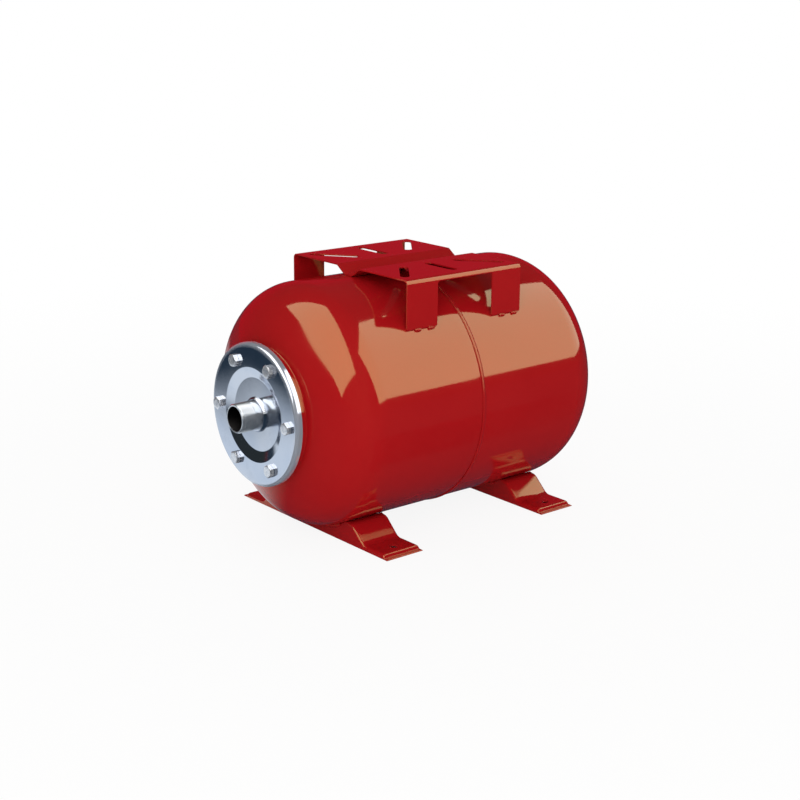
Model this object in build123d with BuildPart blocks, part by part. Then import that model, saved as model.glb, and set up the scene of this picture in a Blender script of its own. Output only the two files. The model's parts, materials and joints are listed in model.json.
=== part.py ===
# Horizontal 24 litre pressure tank for a domestic water set, with a rubber bladder inside.
# Two drawn shell halves are welded at a girth seam, a bolted counterflange clamps the bladder,
# two pressed feet carry the tank and a slotted platform on top carries a pump.
# Millimetres. +Z is up, X runs along the tank with the water connection at -X.
# The origin lies on the floor, under the middle of the overall length.
import os
from math import asin, atan2, cos, degrees, radians, sin, sqrt

from build123d import *

os.makedirs("parts", exist_ok=True)

# Clearances
weld_gap = 0.25  # between curved sheets that a weld joins
screw_gap = 0.1  # radial, between a screw and its thread
hole_gap = 0.3  # radial, between a loose piece and what it passes through
slide_gap = 0.05  # radial, for the valve pin in its guide

# Vessel
tank_d = 280.0
shell_t = 1.5
floor_gap = 9.0  # under the tank
front_straight = 138.5  # seam to the front dome
rear_straight = 147.5  # seam to the rear dome
crown_r = 227.0
knuckle_r = 51.0
lap_length = 8.0  # the front half's joggled edge, inside the rear half
joggle_start = 0.8
joggle_end = 2.4
seam_opening = 0.6
bead_width = 5.0
bead_height = 1.2

# Raised neck on the front dome
neck_room = 3.0  # between the nuts and the neck's wall
neck_height = 9.12  # flat seat, beyond the foot of the neck
neck_fillet_r = 4.0
seat_corner_r = 3.0

# Counterflange and its bolts
flange_overhang = 5.3  # beyond the neck
flange_t = 2.5
flange_rim_r = 8.0
recess_gap = 0.8  # between the recess and the bladder's lip
recess_slope = 11.5  # width of its sloping wall
recess_depth = 4.7
recess_bend_r = 4.0
bolt_circle_r = 65.0
bolt_count = 6
bolt_r = 4.0
bolt_hole_gap = 0.5
bolt_length = 20.0
hex_flats = 13.0
head_height = 5.3
nut_height = 6.5
hex_chamfer = 0.8

# Water nipple
nipple_r = 16.62
nipple_wall = 2.5  # behind the thread
nipple_reach = 29.0  # outer end, beyond the recessed disc
nipple_tail = 2.0  # inner end, behind the disc
nipple_relief = 0.62  # turned off its radius where it passes through the disc and the collar
nipple_chamfer = 1.2
collar_width = 3.8
collar_height = 3.2
collar_foot = 1.0  # the collar's upright edge
collar_slope = 2.0  # its face narrows by this much

# Bladder
lip_t = 2.7
lip_gap = 0.4  # between the lip and the bolts
lip_seat = 5.6  # width of the lip on the seat
lip_inset = 0.8  # the lip's bore, inside the opening
bag_wall = 2.0
bag_room = 30.0  # between the bag and the tank's outside
bag_neck_end = 24.0  # the narrow neck ends this far behind the seat
bag_shoulder = 16.0
bag_overrun = 2.5  # closed end, behind the start of the rear dome
bag_shoulder_bend = 38.0
bag_neck_bend = 10.0
bag_end_flat = 10.0  # radius of the flat middle of the closed end

# Pump platform
platform_length = 170.0
platform_width = 208.0
platform_rise = 11.0  # above the top of the tank
platform_t = 1.5
platform_bend_r = 5.5
platform_lip = 5.6
leg_width = 44.0
leg_corner_r = 3.0
channel_top_half = 20.0
channel_floor_half = 6.5
channel_bend_r = 5.0
seam_window = 12.0  # clears the girth weld under the channel
seam_window_width = 18.0
slot_width = 10.5
slot_length = 52.0
slot_inset = 42.5  # side of the platform to the middle of a cross slot
diagonal_length = 60.0
diagonal_end_inset = 29.5  # end of the platform to the middle of a diagonal slot
diagonal_side_inset = 40.5
diagonal_angle = 51.5
stitch_r = 1.8
stitch_length = 8.0
stitch_offsets = (-6.0, 13.0)  # from the middle of each leg

# Feet
front_foot_inset = 25.7  # start of the front dome to the middle of the front foot
rear_foot_inset = 22.7
foot_width = 51.6
foot_span = 276.0
foot_t = 2.0
foot_bend_r = 4.0
saddle_inset = 72.0  # end of the foot to the end of the saddle
shoulder_width = 7.0
pad_length = 33.5
pad_slope = 3.5  # width of the slope from the pad down to the floor
toe_length = 3.0
pad_height = 5.4
foot_line_bends = [9.0, 14.0, 4.0]
toe_t = 1.2
foot_hole_r = 4.5
foot_hole_inset = 20.0
foot_weld_leg = 3.0
foot_weld_arc = 12.0  # degrees of each bead
foot_weld_inset = 5.0  # degrees between each bead and the end of the saddle

# Air valve on the rear dome
boss_r = 10.0
boss_inside = 4.0
boss_outside = 8.0
boss_weld_leg = 2.2
screw_chamfer = 0.6
stem_r = 5.0
stem_tail = 2.0  # beyond the boss, inside the tank
stem_flats = 12.0
stem_head = 2.5
stem_neck_r = 3.85
stem_neck = 9.5
stem_bore_r = 2.55
core_bore_r = 1.25
core_shoulder = 0.45  # head beyond the body of the core
core_head = 3.0
core_length = 13.0
core_ledge = 1.5
core_recess = 2.0  # core head, below the mouth of the stem
pin_r = 0.55
pin_recess = 0.8
pin_collar_r = 1.1
pin_collar = 0.8
poppet_inset = 0.2  # cup inside the core's outline
poppet_t = 1.2
poppet_seal_t = 0.4
core_seal_t = 2.0
spring_wire_r = 0.13
spring_turns = 6
spring_length = 6.5
cover_wall = 2.5
cover_room = 5.0  # between the stem's mouth and the cover's end
cover_end_t = 2.2
cover_lift = 2.6  # cover's rim, off the dome
cover_seal_t = 1.3
cover_ledge = 1.6  # holds the seal over the boss's end

# Worked out from the sizes above
tank_r = tank_d / 2
axis_height = floor_gap + tank_r
tank_top = axis_height + tank_r
platform_height = tank_top + platform_rise
core_distance = crown_r - knuckle_r
dome_turn = asin((tank_r - knuckle_r) / core_distance)
crown_back = core_distance * cos(dome_turn)
front_centre = front_straight - crown_back
rear_centre = rear_straight - crown_back
rear_apex = rear_centre + crown_r
bolt_hole_r = bolt_r + bolt_hole_gap
neck_r = bolt_circle_r + hex_flats / 2 + neck_room + shell_t
flange_r = neck_r + flange_overhang
lip_r = bolt_circle_r - bolt_r - lip_gap
opening_r = lip_r - lip_seat
lip_bore_r = opening_r - lip_inset
recess_outer_r = lip_bore_r - recess_gap
recess_inner_r = recess_outer_r - recess_slope
flare_r = crown_r + neck_fillet_r
flare = asin((neck_r + neck_fillet_r) / flare_r)
neck_foot_x = front_centre + flare_r * cos(flare)
neck_reach = neck_foot_x + neck_height
flange_back = neck_reach + lip_t
flange_face = flange_back + flange_t
disc_face = flange_face - recess_depth
disc_back = disc_face - flange_t
nipple_tail_r = nipple_r - nipple_relief
nipple_bore_r = nipple_tail_r - nipple_wall
nipple_end = disc_face + nipple_reach
collar_face = disc_face + collar_height
boss_face = rear_apex + boss_outside
stem_seat = boss_face + stem_head
stem_mouth = stem_seat + stem_neck
cover_inside = stem_mouth + cover_room
cover_end = cover_inside + cover_end_t
lap_r = tank_r - shell_t - hole_gap
saddle_r = tank_r + weld_gap
seam_x = (nipple_end - cover_end) / 2

axis_origin = (seam_x, 0, axis_height)
tank_axis = Axis(axis_origin, (1, 0, 0))
# Half sections are drawn with the distance from the seam across and the radius upwards.
front_section = Plane(axis_origin, x_dir=(-1, 0, 0), z_dir=(0, 1, 0))
rear_section = Plane(axis_origin, x_dir=(1, 0, 0), z_dir=(0, -1, 0))


def facing_front(reach):
    # A plane square to the axis, that far in front of the seam, looking out of the tank.
    return Plane((seam_x - reach, 0, axis_height), x_dir=(0, -1, 0), z_dir=(-1, 0, 0))


def facing_rear(reach):
    return Plane((seam_x + reach, 0, axis_height), x_dir=(0, 1, 0), z_dir=(1, 0, 0))


def ring_section(inner_r, outer_r, start, end):
    # The half section of a plain ring or tube.
    with BuildLine() as outline:
        Polyline((start, inner_r), (start, outer_r), (end, outer_r), (end, inner_r), close=True)
    make_face(outline.line)


def bent_sheet(points, radii, thickness, side):
    # A strip of sheet: one face follows the points, the other lies one thickness away.
    with BuildLine() as outline:
        FilletPolyline(*points, radius=radii)
        offset(amount=thickness, side=side)
    make_face(outline.line)


def export(builder, name):
    builder.part.label = name
    export_step(builder.part, "parts/" + name + ".step")


# Front half: joggled edge, cylinder, dome, neck and the flat seat for the bladder's lip.
def front_skin(depth):
    # One face of the sheet, that deep below its outside.
    skin_lap = lap_r - depth
    skin_r = tank_r - depth
    Line((-lap_length, skin_lap), (joggle_start, skin_lap))
    Line((joggle_start, skin_lap), (joggle_end, skin_r))
    Line((joggle_end, skin_r), (front_straight, skin_r))
    knuckle = (front_straight, tank_r - knuckle_r)
    turn = degrees(dome_turn)
    CenterArc(knuckle, knuckle_r - depth, turn, 90 - turn)
    crown_start = degrees(flare)
    CenterArc((front_centre, 0), crown_r - depth, crown_start, turn - crown_start)
    neck_foot = (neck_foot_x, neck_r + neck_fillet_r)
    CenterArc(neck_foot, neck_fillet_r + depth, 180 + crown_start, 90 - crown_start)
    corner = (neck_reach - seat_corner_r, neck_r - seat_corner_r)
    Line((neck_foot_x, neck_r - depth), (corner[0], neck_r - depth))
    CenterArc(corner, seat_corner_r - depth, 0, 90)
    Line((neck_reach - depth, corner[1]), (neck_reach - depth, opening_r))


with BuildPart() as front_shell:
    with BuildSketch(front_section):
        with BuildLine():
            front_skin(0)
            front_skin(shell_t)
            Line((-lap_length, lap_r), (-lap_length, lap_r - shell_t))
            Line((neck_reach, opening_r), (neck_reach - shell_t, opening_r))
        make_face()
    revolve(axis=tank_axis)
    with BuildSketch(facing_front(neck_reach)):
        with PolarLocations(bolt_circle_r, bolt_count):
            Circle(bolt_hole_r)
    extrude(amount=-2 * shell_t, mode=Mode.SUBTRACT)
export(front_shell, "front_shell")


# Rear half: cylinder and dome, with a hole for the air valve's boss.
def rear_skin(depth):
    turn = degrees(dome_turn)
    hole = degrees(asin((boss_r + weld_gap) / (crown_r - depth)))
    Line((seam_opening, tank_r - depth), (rear_straight, tank_r - depth))
    CenterArc((rear_straight, tank_r - knuckle_r), knuckle_r - depth, turn, 90 - turn)
    CenterArc((rear_centre, 0), crown_r - depth, hole, turn - hole)


def crown_reach(radius, depth=0.0):
    # How far behind the seam the rear dome lies at this distance from the axis.
    return rear_centre + sqrt((crown_r - depth) ** 2 - radius**2)


with BuildPart() as rear_shell:
    with BuildSketch(rear_section):
        with BuildLine():
            rear_skin(0)
            rear_skin(shell_t)
            Line((seam_opening, tank_r), (seam_opening, tank_r - shell_t))
            hole_edge = boss_r + weld_gap
            Line((crown_reach(hole_edge), hole_edge), (crown_reach(hole_edge, shell_t), hole_edge))
        make_face()
    revolve(axis=tank_axis)
export(rear_shell, "rear_shell")

# The girth bead fills the groove over the joggle and stands proud of both halves.
with BuildPart() as girth_weld:
    with BuildSketch(rear_section):
        with BuildLine():
            bead_r = tank_r + weld_gap
            root_r = lap_r + weld_gap
            bead_half = bead_width / 2
            bead_top = (0, tank_r + bead_height)
            ThreePointArc((-bead_half, bead_r), bead_top, (bead_half, bead_r))
            Polyline(
                (bead_half, bead_r),
                (seam_opening - weld_gap, bead_r),
                (seam_opening - weld_gap, root_r),
                (-joggle_start, root_r),
                (-joggle_end, bead_r),
                (-bead_half, bead_r),
            )
        make_face()
    revolve(axis=tank_axis)
export(girth_weld, "girth_weld")

# Counterflange: a pressed disc with a recessed middle and a rim turned towards the tank.
with BuildPart() as counterflange:
    with BuildSketch(front_section):
        flange_points = [
            (disc_face, nipple_tail_r + screw_gap),
            (disc_face, recess_inner_r),
            (flange_face, recess_outer_r),
            (flange_face, flange_r),
            (flange_face - flange_rim_r, flange_r),
        ]
        flange_bends = [recess_bend_r, recess_bend_r, flange_rim_r - screw_gap]
        bent_sheet(flange_points, flange_bends, flange_t, Side.LEFT)
    revolve(axis=tank_axis)
    with BuildSketch(facing_front(flange_face)):
        with PolarLocations(bolt_circle_r, bolt_count):
            Circle(bolt_hole_r)
    extrude(amount=-2 * flange_t, mode=Mode.SUBTRACT)
export(counterflange, "counterflange")

with BuildPart() as water_nipple:
    with BuildSketch(front_section):
        ring_section(nipple_bore_r, nipple_tail_r, disc_back - nipple_tail, collar_face)
        ring_section(nipple_bore_r, nipple_r, collar_face, nipple_end)
    revolve(axis=tank_axis)
    mouth = water_nipple.faces().sort_by(Axis.X)[0]
    chamfer(mouth.edges().sort_by(SortBy.LENGTH)[-1], nipple_chamfer)
export(water_nipple, "water_nipple")

# The collar is the weld that joins the nipple to the disc.
with BuildPart() as nipple_collar:
    with BuildSketch(front_section):
        with BuildLine():
            collar_r = nipple_tail_r + screw_gap
            collar_outer = collar_r + collar_width
            Polyline(
                (disc_face, collar_r),
                (disc_face, collar_outer),
                (disc_face + collar_foot, collar_outer),
                (collar_face, collar_outer - collar_slope),
                (collar_face, collar_r),
                close=True,
            )
        make_face()
    revolve(axis=tank_axis)
export(nipple_collar, "nipple_collar")

# One hexagon bolt, head up, with its bearing face at the origin.
corner_r = hex_flats / sqrt(3)
with BuildPart() as bolt:
    with BuildSketch():
        RegularPolygon(hex_flats / 2, 6, major_radius=False)
    extrude(amount=head_height)
    # A blunt cone takes the top corners off the hexagon.
    with BuildSketch(Plane.XZ):
        with BuildLine():
            Polyline(
                (0, 0),
                (corner_r, 0),
                (corner_r, head_height - hex_chamfer / 2),
                (corner_r - hex_chamfer, head_height),
                (0, head_height),
                close=True,
            )
        make_face()
    revolve(axis=Axis.Z, mode=Mode.INTERSECT)
    with BuildSketch():
        Circle(bolt_r)
    extrude(amount=-bolt_length)
    chamfer(bolt.edges().group_by(Axis.Z)[0], hex_chamfer)

with BuildPart(facing_front(flange_face)) as flange_bolts:
    with PolarLocations(bolt_circle_r, bolt_count):
        add(bolt.part)
export(flange_bolts, "flange_bolts")

with BuildPart() as weld_nuts:
    with BuildSketch(facing_front(neck_reach - shell_t)):
        with PolarLocations(bolt_circle_r, bolt_count):
            RegularPolygon(hex_flats / 2, 6, major_radius=False, rotation=30)
            Circle(bolt_r + screw_gap, mode=Mode.SUBTRACT)
    extrude(amount=-nut_height)
export(weld_nuts, "weld_nuts")

# Bladder: the lip lies between the seat and the flange, the bag hangs inside the tank.
with BuildPart() as bladder:
    with BuildSketch(front_section):
        neck_out = opening_r - hole_gap
        bag_r = tank_r - bag_room
        bag_back = rear_straight + bag_overrun
        neck_end = neck_reach - bag_neck_end
        bag_points = [
            (neck_reach + lip_t / 2, neck_out),
            (neck_end, neck_out),
            (neck_end - bag_shoulder, bag_r),
            (-bag_back, bag_r),
            (-bag_back, 0),
        ]
        bag_bends = [bag_neck_bend, bag_shoulder_bend, bag_r - bag_end_flat]
        bent_sheet(bag_points, bag_bends, bag_wall, Side.LEFT)
        ring_section(lip_bore_r, lip_r, neck_reach, flange_back)
    revolve(axis=tank_axis)
export(bladder, "bladder")

# Pump platform: one sheet with a stiffening channel, turned down edges, four legs and six slots.
leg_face = platform_width / 2
leg_bottom = axis_height + sqrt(tank_r**2 - (leg_face - platform_t) ** 2) + weld_gap
channel_floor = tank_top + weld_gap + platform_t
leg_middle = (platform_length - leg_width) / 2
slot_spread = platform_width - 2 * slot_inset
diagonal_x = platform_length / 2 - diagonal_end_inset
diagonal_y = platform_width / 2 - diagonal_side_inset

with BuildPart() as pump_platform:
    with BuildSketch(Plane.YZ.offset(seam_x - platform_length / 2)):
        half_section = [
            (0, channel_floor),
            (channel_floor_half, channel_floor),
            (channel_top_half, platform_height),
            (leg_face, platform_height),
            (leg_face, leg_bottom),
        ]
        section_bends = [channel_bend_r, channel_bend_r, platform_bend_r]
        bent_sheet(half_section, section_bends, platform_t, Side.RIGHT)
        mirror(about=Plane.YZ)
    extrude(amount=platform_length)
    # Between the legs only a short lip is left of each turned down edge.
    with BuildSketch(Plane.XZ):
        with Locations((seam_x, (leg_bottom + platform_height - platform_lip) / 2)):
            gap_height = platform_height - platform_lip - leg_bottom
            Rectangle(platform_length - 2 * leg_width, gap_height)
        fillet(vertices().group_by(Axis.Y)[-1], leg_corner_r)
        with Locations((seam_x, leg_bottom)):
            Rectangle(platform_length - 2 * leg_width, 2 * leg_corner_r)
    leg_zone = extrude(amount=leg_face + platform_t, both=True, mode=Mode.PRIVATE)
    with BuildSketch(Plane.XY.offset(leg_bottom - leg_corner_r)):
        with Locations((seam_x, 0)):
            keep_y = 2 * (leg_face - platform_bend_r)
            Rectangle(platform_length, platform_width + platform_t)
            Rectangle(platform_length, keep_y, mode=Mode.SUBTRACT)
    side_zone = extrude(amount=platform_height, mode=Mode.PRIVATE)
    add(leg_zone & side_zone, mode=Mode.SUBTRACT)
    # Slots for the pump's feet: two across the tank and four towards the corners.
    with BuildSketch(Plane.XY.offset(platform_height)):
        with GridLocations(0, slot_spread, 1, 2):
            with Locations((seam_x, 0)):
                SlotOverall(slot_length, slot_width, rotation=90)
        for side_x in (-1, 1):
            for side_y in (-1, 1):
                with Locations((seam_x + side_x * diagonal_x, side_y * diagonal_y)):
                    turn = side_x * side_y * diagonal_angle
                    SlotOverall(diagonal_length, slot_width, rotation=turn)
    extrude(amount=-2 * platform_t, mode=Mode.SUBTRACT)
    with BuildSketch(Plane.XY.offset(platform_height)):
        with Locations((seam_x, 0)):
            RectangleRounded(seam_window, seam_window_width, platform_t)
    extrude(amount=tank_top - platform_height, mode=Mode.SUBTRACT)
export(pump_platform, "pump_platform")

# Short weld stitches in the corner between each leg's lower edge and the tank.
stitch_axis_r = saddle_r + stitch_r
leg_edge_angle = atan2(leg_bottom - axis_height, leg_face)
stitch_angle = leg_edge_angle - (stitch_r + screw_gap) / stitch_axis_r
stitch_y = stitch_axis_r * cos(stitch_angle)
stitch_z = axis_height + stitch_axis_r * sin(stitch_angle)

with BuildPart() as platform_welds:
    for side_x in (-1, 1):
        for side_y in (-1, 1):
            for along in stitch_offsets:
                with Locations((seam_x + side_x * leg_middle + along, side_y * stitch_y, stitch_z)):
                    Cylinder(stitch_r, stitch_length, rotation=(0, 90, 0))
    fillet(platform_welds.edges().filter_by(GeomType.CIRCLE), 0.8 * stitch_r)
export(platform_welds, "platform_welds")


# Foot: an inverted tray across the tank. Its saddle follows the shell, its ends slope to flat
# pads near the floor and turn down to it, and it is open underneath.
pad_toe = foot_span / 2 - toe_length
pad_end = pad_toe - pad_slope
saddle_half = foot_span / 2 - saddle_inset
foot_hole_spread = foot_span - 2 * foot_hole_inset


def foot_line():
    # Outside of the pressing from the saddle's edge to below the floor, across and up.
    saddle_z = axis_height - sqrt(saddle_r**2 - saddle_half**2)
    toe_slope = pad_slope / pad_height
    return [
        (saddle_half, saddle_z),
        (saddle_half + shoulder_width, saddle_z),
        (pad_end - pad_length, pad_height),
        (pad_end, pad_height),
        (pad_toe + 2 * foot_t * toe_slope, -2 * foot_t),
    ]


def is_bend(edge):
    # The pressing's long edges outside the saddle, which are rounded.
    return abs(edge.center().Y) > saddle_half and abs(edge.tangent_at(0).X) < 0.5


def make_foot(middle_x):
    end_x = middle_x - foot_width / 2
    with BuildPart() as foot:
        with BuildSketch(Plane.YZ.offset(end_x)) as outside:
            with BuildLine():
                points = foot_line()
                right = FilletPolyline(*points, radius=foot_line_bends)
                mirror(right, about=Plane.YZ)
                Line((-points[-1][0], points[-1][1]), points[-1])
                saddle_start = (-points[0][0], points[0][1])
                ThreePointArc(saddle_start, (0, axis_height - saddle_r), points[0])
            make_face()
        extrude(amount=foot_width)
        fillet(foot.edges().filter_by(is_bend), foot_bend_r)
        with BuildSketch(Plane.YZ.offset(end_x + foot_t)):
            add(outside.sketch_local)
            offset(amount=-foot_t, mode=Mode.REPLACE)
        extrude(amount=foot_width - 2 * foot_t, mode=Mode.SUBTRACT)
        split(bisect_by=Plane.XY, keep=Keep.TOP)
        # A narrow lip runs along the floor at each end.
        with BuildSketch():
            for side_y in (-1, 1):
                lip_width = foot_span / 2 - pad_toe + foot_t / 2
                with Locations((middle_x, side_y * (foot_span - lip_width) / 2)):
                    Rectangle(foot_width, lip_width)
        extrude(amount=toe_t)
        with BuildSketch(Plane.XY.offset(pad_height)):
            with Locations((middle_x, 0)):
                with GridLocations(0, foot_hole_spread, 1, 2):
                    Circle(foot_hole_r)
        extrude(amount=-2 * foot_t, mode=Mode.SUBTRACT)
    return foot


front_foot_x = seam_x - front_straight + front_foot_inset
rear_foot_x = seam_x + rear_straight - rear_foot_inset
foot_places = [front_foot_x, rear_foot_x]
for name, middle in zip(("front_foot", "rear_foot"), foot_places):
    export(make_foot(middle), name)


def below_tank(angle):
    # A half section through the tank axis, turned by this angle from straight down.
    turn = radians(angle)
    return Plane(axis_origin, x_dir=(1, 0, 0), z_dir=(0, cos(turn), sin(turn)))


# Fillet welds between the feet and the shell, two beads along each edge of each saddle.
saddle_angle = degrees(asin(saddle_half / saddle_r))
foot_weld_angle = saddle_angle - foot_weld_inset - foot_weld_arc / 2  # middle, from straight down

with BuildPart() as foot_welds:
    for middle in foot_places:
        for side_x in (-1, 1):
            for side_y in (-1, 1):
                edge = middle - seam_x + side_x * foot_width / 2
                start = side_y * foot_weld_angle - foot_weld_arc / 2
                with BuildSketch(below_tank(start)):
                    with BuildLine():
                        Polyline(
                            (edge, saddle_r),
                            (edge + side_x * foot_weld_leg, saddle_r),
                            (edge, saddle_r + foot_weld_leg),
                            close=True,
                        )
                    make_face()
                revolve(axis=tank_axis, revolution_arc=foot_weld_arc)
export(foot_welds, "foot_welds")

# Air valve: a boss welded into the rear dome, a brass stem and the core inside it.
with BuildPart() as valve_boss:
    with BuildSketch(rear_section):
        ring_section(stem_r + screw_gap, boss_r, rear_apex - boss_inside, boss_face)
    revolve(axis=tank_axis)
    chamfer(valve_boss.faces().sort_by(Axis.X)[-1].edges().sort_by(SortBy.LENGTH)[-1], screw_chamfer)
export(valve_boss, "valve_boss")

with BuildPart() as boss_weld:
    with BuildSketch(rear_section):
        weld_r = boss_r + screw_gap
        weld_foot = crown_reach(weld_r) + weld_gap
        with BuildLine():
            Polyline(
                (weld_foot, weld_r),
                (weld_foot + boss_weld_leg, weld_r),
                (crown_reach(weld_r + boss_weld_leg) + weld_gap, weld_r + boss_weld_leg),
                close=True,
            )
        make_face()
    revolve(axis=tank_axis)
export(boss_weld, "boss_weld")

with BuildPart() as valve_stem:
    with BuildSketch(rear_section):
        ring_section(stem_bore_r, stem_r, rear_apex - boss_inside - stem_tail, boss_face)
        ring_section(stem_bore_r, stem_neck_r, boss_face, stem_mouth)
    revolve(axis=tank_axis)
    with BuildSketch(facing_rear(boss_face)):
        RegularPolygon(stem_flats / 2, 6, major_radius=False)
        Circle(stem_bore_r, mode=Mode.SUBTRACT)
    extrude(amount=stem_head)
export(valve_stem, "valve_stem")

core_head_r = stem_bore_r - screw_gap
core_r = core_head_r - core_shoulder
poppet_r = core_r - poppet_inset
core_top = stem_mouth - core_recess
core_neck = core_top - core_head
core_end = core_top - core_length
spring_start = core_end + core_ledge
spring_end = spring_start + spring_length

with BuildPart() as valve_core:
    with BuildSketch(rear_section):
        ring_section(core_bore_r, core_head_r, core_neck, core_top)
        ring_section(core_bore_r, core_r, spring_start, core_neck)
        ring_section(pin_r + slide_gap, core_r, core_end, spring_start)
    revolve(axis=tank_axis)
export(valve_core, "valve_core")

with BuildPart() as core_seal:
    with BuildSketch(rear_section):
        ring_section(core_r + screw_gap, core_head_r, core_neck - core_seal_t, core_neck)
    revolve(axis=tank_axis)
export(core_seal, "core_seal")

# The pin opens the valve when it is pressed: its cup leaves the lower end of the core.
poppet_face = core_end - poppet_seal_t
with BuildPart() as valve_pin:
    with BuildSketch(rear_section):
        ring_section(0, pin_r, poppet_face - poppet_t, stem_mouth - pin_recess)
        ring_section(0, poppet_r, poppet_face - poppet_t, poppet_face)
        ring_section(0, pin_collar_r, spring_end, spring_end + pin_collar)
    revolve(axis=tank_axis)
export(valve_pin, "valve_pin")

with BuildPart() as poppet_seal:
    with BuildSketch(rear_section):
        ring_section(pin_r + slide_gap, poppet_r, poppet_face, core_end)
    revolve(axis=tank_axis)
export(poppet_seal, "poppet_seal")

with BuildPart() as valve_spring:
    coil_r = (pin_r + core_bore_r) / 2
    coil_height = spring_length - 2 * spring_wire_r
    with BuildLine():
        Helix(
            pitch=coil_height / spring_turns,
            height=coil_height,
            radius=coil_r,
            center=(seam_x + spring_start + spring_wire_r, 0, axis_height),
            direction=(1, 0, 0),
        )
    wire_path = valve_spring.pending_edges[0]
    with BuildSketch(Plane(wire_path @ 0, z_dir=wire_path % 0)):
        Circle(spring_wire_r)
    sweep(path=wire_path)
export(valve_spring, "valve_spring")

# Screwed cover over the valve, with its flat seal behind an inner shoulder.
cover_bore_r = boss_r - cover_ledge
cover_r = boss_r + hole_gap + cover_wall
cover_rim = rear_apex + cover_lift
seal_start = boss_face + hole_gap
cover_shoulder = seal_start + cover_seal_t

with BuildPart() as valve_cover:
    with BuildSketch(rear_section):
        ring_section(boss_r + hole_gap, cover_r, cover_rim, cover_shoulder)
        ring_section(cover_bore_r, cover_r, cover_shoulder, cover_inside)
        ring_section(0, cover_r, cover_inside, cover_end)
    revolve(axis=tank_axis)
    fillet(valve_cover.faces().sort_by(Axis.X)[-1].edges(), cover_wall / 2)
export(valve_cover, "valve_cover")

with BuildPart() as cover_seal:
    with BuildSketch(rear_section):
        ring_section(cover_bore_r, boss_r - hole_gap, seal_start, cover_shoulder)
    revolve(axis=tank_axis)
export(cover_seal, "cover_seal")
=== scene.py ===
import json
from math import atan2, asin, ceil, cos, degrees, hypot, pi, radians, sin, sqrt, tan

import bmesh
import bpy
from mathutils import Matrix, Vector, geometry, noise


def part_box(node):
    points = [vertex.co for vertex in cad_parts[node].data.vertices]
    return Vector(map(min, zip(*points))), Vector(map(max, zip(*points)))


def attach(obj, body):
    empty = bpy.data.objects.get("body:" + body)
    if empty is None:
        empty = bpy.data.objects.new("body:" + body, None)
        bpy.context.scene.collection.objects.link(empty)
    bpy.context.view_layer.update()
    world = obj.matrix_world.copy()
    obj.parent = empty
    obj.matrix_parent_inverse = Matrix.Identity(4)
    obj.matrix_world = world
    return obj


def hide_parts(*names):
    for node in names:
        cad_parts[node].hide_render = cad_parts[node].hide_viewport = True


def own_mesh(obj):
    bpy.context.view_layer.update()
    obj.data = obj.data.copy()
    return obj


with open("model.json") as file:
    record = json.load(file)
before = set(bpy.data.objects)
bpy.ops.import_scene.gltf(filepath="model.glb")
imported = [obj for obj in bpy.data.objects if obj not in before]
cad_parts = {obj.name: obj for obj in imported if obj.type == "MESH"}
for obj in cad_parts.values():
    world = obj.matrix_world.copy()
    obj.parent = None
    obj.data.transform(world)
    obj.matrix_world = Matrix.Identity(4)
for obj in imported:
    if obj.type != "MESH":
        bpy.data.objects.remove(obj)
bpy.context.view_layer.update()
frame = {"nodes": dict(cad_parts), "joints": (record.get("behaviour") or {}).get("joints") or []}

mm = 0.001
shellLow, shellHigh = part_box("rear_shell")
beadLow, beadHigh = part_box("girth_weld")
axisZ = (shellLow.z + shellHigh.z) / 2  # height of the tank's axis
seamX = (beadLow.x + beadHigh.x) / 2  # middle of the girth seam
tankR = (shellHigh.z - shellLow.z) / 2 / mm
flangeLow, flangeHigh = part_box("counterflange")
flangeR = (flangeHigh.z - flangeLow.z) / 2 / mm
toFront, toRear = -1, 1  # which way a distance from the seam runs
tiny = 1e-6


class Wire:
    # one output in a node graph, which can be used in sums
    def __init__(self, net, socket):
        self.net, self.socket = net, socket

    def maths(self, operation, first, second=None):
        values = {0: first} if second is None else {0: first, 1: second}
        return self.net.add("ShaderNodeMath", {"operation": operation}, values)

    def __add__(self, other):
        return self.maths("ADD", self, other)

    def __sub__(self, other):
        return self.maths("SUBTRACT", self, other)

    def __rsub__(self, other):
        return self.maths("SUBTRACT", other, self)

    def __mul__(self, other):
        return self.maths("MULTIPLY", self, other)

    def __pow__(self, other):
        return self.maths("POWER", self, other)

    __radd__, __rmul__ = __add__, __mul__


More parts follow.
